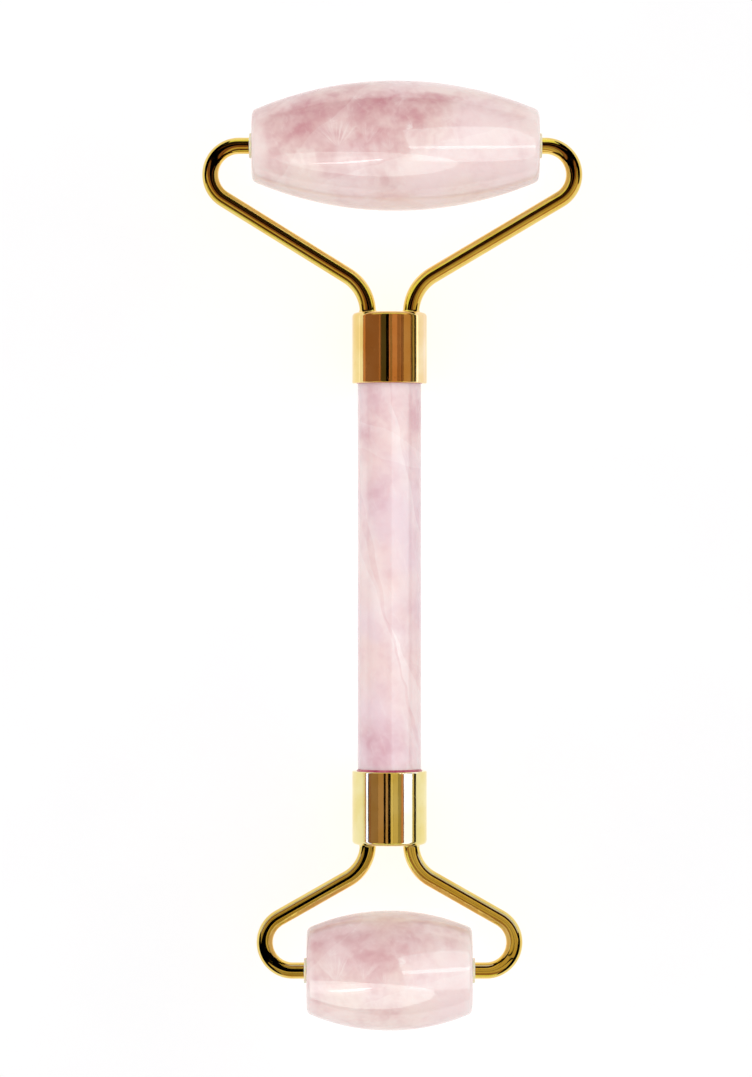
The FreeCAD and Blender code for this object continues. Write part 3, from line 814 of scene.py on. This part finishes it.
# The strips that a ferrule mirrors: two leans of the skin, brightness and tint. Dark gaps are left between.
FERRULE_STRIPS = {
    "upper": [
        (-44.8, -39.8, 0.56, BRONZE), (-39.4, -16.9, 0.27, BRONZE), (-16.7, -14.9, 0.44, BRONZE),
        (-14.7, -13.4, 0.3, BRONZE), (-13.2, -5.6, 0.075, STRAW), (-0.8, 0.8, 0.5, BRONZE),
        (1.0, 3.6, 0.3, AMBER), (3.8, 11.8, 0.54, BRONZE), (12.0, 14.8, 0.32, BRONZE),
        (15.0, 18.2, 0.36, BRONZE), (18.6, 21.4, 0.27, BRONZE), (21.8, 33.8, 0.5, AMBER),
        (34.0, 35.8, 0.3, AMBER), (37.6, 41.2, 0.37, STRAW),
    ],
    "lower": [
        (-45.0, -41.4, 0.85, PALE), (-41.2, -39.2, 0.66, AMBER), (-38.6, -35.0, 3.2, SILVER),
        (-33.6, -30.2, 0.3, BRONZE), (-30.0, -18.2, 0.31, AMBER), (-18.0, -9.0, 0.44, AMBER),
        (-5.8, -2.6, 0.48, AMBER), (1.8, 5.2, 0.74, STRAW), (5.4, 13.2, 0.6, STRAW),
        (13.4, 17.8, 0.36, STRAW), (18.0, 21.6, 0.55, BRONZE), (22.4, 36.8, 3.2, SILVER),
        (37.0, 38.6, 0.85, PALE), (38.8, 40.6, 0.66, STRAW),
    ],
}

# The same for the cards on the floor beside a ferrule, which it mirrors where it leans beyond 45 degrees.
FLOOR_CARDS = {
    "upper": [(46.6, 50.0, 1.6, SILVER), (50.4, 74.0, 0.6, ICE), (-54.5, -52.5, 0.5, SILVER)],
    "lower": [(47.0, 50.5, 2.4, SILVER), (51.0, 74.0, 0.9, ICE), (-53.0, -50.0, 0.7, SILVER)],
}

# The same for the strips of each arm, across its straight run.
ARM_STRIPS = {
    ("upper", "left"): [
        (-45.0, -36.0, 0.74, LEMON), (-31.5, -29.0, 0.3, BRONZE), (-26.0, -24.5, 0.3, BRONZE),
        (-21.5, -12.0, 0.55, STRAW), (-11.5, -8.0, 0.4, BRONZE), (-6.5, -1.5, 0.24, BRONZE),
        (8.5, 10.0, 0.2, BRONZE), (18.5, 20.0, 0.16, STRAW), (27.5, 45.0, 0.9, LEMON),
    ],
    ("upper", "right"): [
        (-45.0, -36.0, 1.1, PALE), (-34.5, -30.0, 0.6, BRONZE), (-28.5, -15.0, 0.6, STRAW),
        (-13.5, -7.0, 0.48, STRAW), (-5.5, -1.0, 0.26, BRONZE), (8.5, 10.0, 0.2, BRONZE),
        (20.5, 33.0, 0.95, LEMON), (34.0, 45.0, 1.2, LEMON),
    ],
    ("lower", "left"): [
        (-45.0, -36.0, 0.6, AMBER), (-34.5, -27.0, 0.44, STRAW), (-25.5, -13.0, 0.4, STRAW),
        (-11.5, -5.0, 0.56, STRAW), (14.5, 20.0, 0.36, STRAW), (21.5, 30.0, 0.48, STRAW),
        (31.0, 35.5, 0.4, BRONZE), (38.0, 45.0, 1.6, SILVER),
    ],
    ("lower", "right"): [
        (-45.0, -28.0, 0.85, LEMON), (-26.5, -15.0, 0.36, AMBER), (-13.5, -2.0, 0.56, STRAW),
        (-0.5, 10.0, 0.52, STRAW), (11.0, 20.0, 0.66, STRAW), (30.0, 32.0, 0.4, BRONZE),
        (35.0, 45.0, 1.8, SILVER),
    ],
}

# Screens beyond both ends of a ferrule, mirrored by it only when it is seen aslant: how high above the floor
# they start and stop (in degrees), brightness and tint.
END_SCREENS = [(1.0, 8.0, 0.4, BRONZE), (10.0, 24.0, 0.62, STRAW), (26.0, 42.0, 0.9, LEMON)]
SCREEN_DISTANCE = 0.75
SCREEN_WIDTH = 1.5
STRIP_DISTANCE = 0.6
STRIP_LENGTH = 1.3
CARD_LENGTH = 0.09
CARD_LEVEL = 0.5 * MM
UP = Vector((0, 0, 1))


def make_floor():
    """Lay the floor under both rollers, so that it is level with the line where each one touches it."""
    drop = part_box("small_roller")[0].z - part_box("large_roller")[0].z
    run = ROLLER_AXIS["large"].y - ROLLER_AXIS["small"].y
    tilt = math.asin(drop / run)
    contact = Vector((0, ROLLER_AXIS["large"].y, -FLOOR_GAP))
    mesh_builder = bmesh.new()
    bmesh.ops.create_grid(mesh_builder, x_segments=FLOOR_SQUARES, y_segments=FLOOR_SQUARES, size=FLOOR_REACH)
    mesh = bpy.data.meshes.new("studio_floor")
    mesh_builder.to_mesh(mesh)
    mesh_builder.free()
    floor = bpy.data.objects.new("studio_floor", mesh)
    bpy.context.scene.collection.objects.link(floor)
    floor.matrix_world = Matrix.Translation(contact) @ Matrix.Rotation(-tilt, 4, "X")
    dress(floor, floor_material())
    return floor


def make_world():
    """Make a white room that lights everything evenly and that polished surfaces don't mirror."""
    world = bpy.data.worlds.new("studio_room")
    world.use_nodes = True
    background = world.node_tree.nodes["Background"]
    background.inputs["Color"].default_value = ROOM_TINT
    background.inputs["Strength"].default_value = ROOM_STRENGTH
    world.cycles_visibility.glossy = False
    bpy.context.scene.world = world


def hung(centre, aim, roll=0.0):
    """Return the matrix of a lamp at centre shining at aim, its own Y as near along the handle as can be."""
    back = (centre - aim).normalized()
    across = Vector((0, 1, 0)).cross(back).normalized()
    turn = Matrix((across, back.cross(across), back)).transposed().to_4x4()
    return Matrix.Translation(centre) @ turn @ Matrix.Rotation(roll * DEGREE, 4, "Z")


def gathered(name, pieces):
    """Return a collection of pieces for lamps to light alone. Cycles keeps at most 63 of these apart."""
    collection = bpy.data.collections.new(name)
    for piece in pieces:
        collection.objects.link(piece)
    return collection


def panel(name, place, size, radiance, tint, lit, shape="RECTANGLE"):
    """Hang a light panel by its matrix. It shows only as a reflection, on the pieces in lit."""
    lamp = bpy.data.lights.new(name, "AREA")
    lamp.shape = shape
    lamp.size, lamp.size_y = size
    area = size[0] * size[1] * (math.pi / 4 if shape == "ELLIPSE" else 1)
    lamp.energy = radiance * math.pi * area
    lamp.color = tint
    holder = bpy.data.objects.new(name, lamp)
    bpy.context.scene.collection.objects.link(holder)
    holder.matrix_world = place
    holder.visible_camera = False
    holder.visible_diffuse = False
    holder.light_linking.receiver_collection = lit
    return holder


def make_ceiling(lit):
    """Hang a wide soft ceiling that lights the stones and plastics evenly but isn't mirrored."""
    place = hung(CEILING_HEIGHT * UP, Vector())
    ceiling = panel("ceiling", place, (CEILING_WIDTH, CEILING_WIDTH), CEILING_RADIANCE, WHITE, lit)
    ceiling.visible_diffuse = True
    ceiling.visible_glossy = False


def make_floor_lamp(floor):
    """Shine straight down on the floor alone, without shadows, as bright studio paper looks."""
    lamp = bpy.data.lights.new("floor_lamp", "SUN")
    lamp.energy = FLOOR_LAMP_STRENGTH
    holder = bpy.data.objects.new("floor_lamp", lamp)
    bpy.context.scene.collection.objects.link(holder)
    only_floor = gathered("floor_only", [floor])
    holder.light_linking.receiver_collection = only_floor
    holder.light_linking.blocker_collection = only_floor


def make_camera():
    """Look straight down on the roller."""
    eye = bpy.data.cameras.new("photo_eye")
    eye.lens = CAMERA_LENS
    eye.sensor_width = CAMERA_SENSOR
    holder = bpy.data.objects.new("photo_eye", eye)
    bpy.context.scene.collection.objects.link(holder)
    holder.location = CAMERA_PLACE
    bpy.context.scene.camera = holder


def mirror_angles(surface, across, along):
    """Return the angles from Z, across and along, at which skin with two leans mirrors the camera."""
    to_eye = CAMERA_PLACE - surface
    return (2 * across * DEGREE - math.atan2(to_eye.x, to_eye.z),
            2 * along * DEGREE - math.atan2(to_eye.y, to_eye.z))


def mirrored(surface, across, along, height):
    """Return where on a level above the surface the camera is mirrored by skin that leans by two angles."""
    angle_x, angle_y = mirror_angles(surface, across, along)
    return surface + height * Vector((math.tan(angle_x), math.tan(angle_y), 1))


def hang_window(name, surface, ends, along, radiance, roll, lit):
    """Hang a rectangular panel off to one side, by its two ends and the leans along of its near end."""
    places = []
    for lean, distance in ends:
        angle, _ = mirror_angles(surface, lean, 0)
        places.append(surface + distance * Vector((math.sin(angle), 0, math.cos(angle))))
    near_distance = ends[0][1]
    low, high = [near_distance * math.tan(mirror_angles(surface, 0, lean)[1]) for lean in along]
    centre = (places[0] + places[1]) / 2 + Vector((0, (low + high) / 2, 0))
    run = places[1] - places[0]
    facing = Vector((0, 1, 0)).cross(run).normalized()
    panel(name, hung(centre, centre + facing, roll), (run.length, high - low), radiance, COOL, lit)


def light_handle(lit):
    """Give the handle its window."""
    window = WINDOWS["handle"]
    top = Vector((HANDLE_AXIS.x, HANDLE_AXIS.y, HANDLE_HIGH.z))
    roll = window["roll"]
    hang_window("handle_window", top, window["ends"], window["along"], window["radiance"], roll, lit)


def light_roller(size, lit):
    """Give a roller its window, the bright line along that and the parts of the lens at its lower left."""
    _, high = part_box(f"{size}_roller")
    top = Vector((ROLLER_AXIS[size].x, ROLLER_AXIS[size].y, high.z))
    window = WINDOWS[size]
    roll = window["roll"]
    hang_window(f"{size}_window", top, window["ends"], window["along"], window["radiance"], roll, lit)
    nearer = [(lean, distance * IN_FRONT) for lean, distance in window["ends"]]
    hang_window(f"{size}_window_line", top, nearer, window["line"], LINE_RADIANCE, roll, lit)
    for part, (leans, part_size, part_roll, radiance) in LENSES[size].items():
        centre = mirrored(top, *leans, LENS_HEIGHT[part])
        place = hung(centre, top, part_roll)
        panel(f"{size}_{part}", place, part_size, radiance, LENS_TINT[part], lit, "ELLIPSE")


def stand_strips(name, target, across, strips, lit):
    """Stand strips on an arch over the metal, on both sides of a target, for it to mirror."""
    to_eye = CAMERA_PLACE - target
    view_lean = math.atan2(to_eye.dot(across), to_eye.z)
    along = UP.cross(across)
    for number, (first, last, radiance, tint) in enumerate(strips):
        angle = (first + last) * DEGREE - view_lean
        out = across * math.sin(angle) + UP * math.cos(angle)
        width = 2 * STRIP_DISTANCE * math.tan((last - first) * DEGREE)
        turn = Matrix((along.cross(out), along, out)).transposed().to_4x4()
        place = Matrix.Translation(target + out * STRIP_DISTANCE) @ turn
        panel(f"{name}_strip_{number}", place, (width, STRIP_LENGTH), radiance, tint, lit)


def lay_cards(end, lit):
    """Lay cards on the floor beside a ferrule for the lower part of its skin to mirror."""
    low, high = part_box(f"{end}_ferrule")
    radius = (high.x - low.x) / 2
    centre = middle(f"{end}_ferrule")
    for number, (first, last, radiance, tint) in enumerate(FLOOR_CARDS[end]):
        hits = []
        for lean in (first * DEGREE, last * DEGREE):
            drop = centre.z + radius * math.cos(lean) - CARD_LEVEL
            hits.append(centre.x + radius * math.sin(lean) - drop * math.tan(2 * lean))
        middle_of_card = Vector(((hits[0] + hits[1]) / 2, centre.y, CARD_LEVEL))
        size = (abs(hits[1] - hits[0]), CARD_LENGTH)
        panel(f"{end}_card_{number}", hung(middle_of_card, middle_of_card + UP), size, radiance, tint, lit)


def stand_screens(end, lit):
    """Stand screens beyond both ends of a ferrule."""
    centre = middle(f"{end}_ferrule")
    for toward, way in ALONG.items():
        for number, (first, last, radiance, tint) in enumerate(END_SCREENS):
            rise = (first + last) / 2 * DEGREE
            out = Vector((0, way * math.cos(rise), math.sin(rise)))
            height = 2 * SCREEN_DISTANCE * math.tan((last - first) / 2 * DEGREE)
            place = hung(centre + out * SCREEN_DISTANCE, centre)
            panel(f"{end}_{toward}_screen_{number}", place, (SCREEN_WIDTH, height), radiance, tint, lit)


def light_gold(end, ferrule, fork):
    """Give a ferrule and the two arms of its fork the panels that they mirror."""
    ferrule_alone = gathered(f"{end}_ferrule_alone", [ferrule])
    target = middle(f"{end}_ferrule")
    stand_strips(f"{end}_ferrule", target, Vector((1, 0, 0)), FERRULE_STRIPS[end], ferrule_alone)
    lay_cards(end, ferrule_alone)
    stand_screens(end, ferrule_alone)
    for side, pieces in fork.items():
        arm_alone = gathered(f"{end}_{side}_arm_alone", pieces)
        _, run = arm_centre_line(end, side)
        start, stop = [arm_place(end, side, x, y) for x, y in run]
        forward = (stop - start).normalized()
        across = Vector((-forward.y, forward.x, 0))
        if across.y < 0:
            across.negate()
        stand_strips(f"{end}_{side}", (start + stop) / 2, across, ARM_STRIPS[end, side], arm_alone)


# ---------------------------------------------------------------- assembly

handle = make_handle()
rollers = {size: make_roller(size) for size in ("large", "small")}
ferrules = {end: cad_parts[f"{end}_ferrule"] for end in ALONG}
forks = {end: {side: [make_arm(end, side), make_braze(end, side)] for side in SIDES} for end in ALONG}
bushes = [make_bush(size, side) for size in rollers for side in SIDES]
resins = [make_handle_adhesive(end) for end in ALONG]
resins += [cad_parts[f"{size}_{side}_bush_adhesive"] for size in rollers for side in SIDES]

dress(handle, handle_stone())
for size, roller in rollers.items():
    dress(roller, roller_stone(size))
golds = {"upper": gold_material("warm_gold"), "lower": gold_material("yellow_gold")}
wire_gold = gold_material("wire_gold")
for end, ferrule in ferrules.items():
    dress(ferrule, golds[end])
    for arm, braze in forks[end].values():
        dress(arm, wire_gold)
        dress(braze, golds[end])
nylon = bush_material()
for piece in bushes:
    dress(piece, nylon)
resin = adhesive_material()
for piece in resins:
    dress(piece, resin)

floor = make_floor()
make_world()
make_floor_lamp(floor)
make_ceiling(gathered("stones_and_plastics", [handle, *rollers.values(), *bushes, *resins]))
make_camera()
light_handle(gathered("handle_alone", [handle]))
for size, roller in rollers.items():
    light_roller(size, gathered(f"{size}_roller_alone", [roller]))
for end, ferrule in ferrules.items():
    light_gold(end, ferrule, forks[end])

bpy.context.scene.view_settings.view_transform = "Standard"
